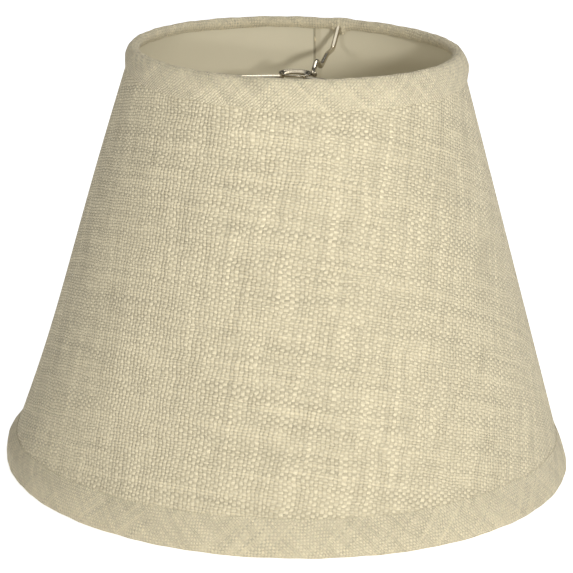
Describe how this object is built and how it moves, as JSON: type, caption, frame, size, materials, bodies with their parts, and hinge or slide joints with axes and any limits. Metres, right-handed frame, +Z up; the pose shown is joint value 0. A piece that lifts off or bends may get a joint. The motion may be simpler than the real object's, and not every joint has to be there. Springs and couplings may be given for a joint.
{
  "type": "lamp shade",
  "caption": "Tapered hardback lamp shade of coarse linen on a stiff lining, with rolled cloth edges and a recessed spider fitter for a harp.",
  "frame": {"origin": "centre of the edge the shade stands on, at floor level", "axes": "+Z up the shade's axis towards the small end, +Y towards the side with the seam, +X to the right seen from the front"},
  "size_m": [0.3588, 0.3599, 0.2673],
  "materials": {
    "cover_cloth": "coarse plain-weave linen, natural",
    "trim_cloth": "the same linen cut on the bias",
    "liner_styrene": "smooth satin off-white",
    "seam_adhesive": "thin double-sided tape",
    "ring_wire": "drawn steel wire",
    "spider_plating": "bright nickel plate"
  },
  "bodies": {
    "root": {"fabric_cover": "cover_cloth", "liner": "liner_styrene", "seam_tape": "seam_adhesive", "top_trim": "trim_cloth", "bottom_trim": "trim_cloth", "top_ring": "ring_wire", "bottom_ring": "ring_wire", "spider_arm_rear": "spider_plating", "spider_arm_left": "spider_plating", "spider_arm_front_right": "spider_plating", "fitter_washer": "spider_plating"}
  },
  "joints": []
}
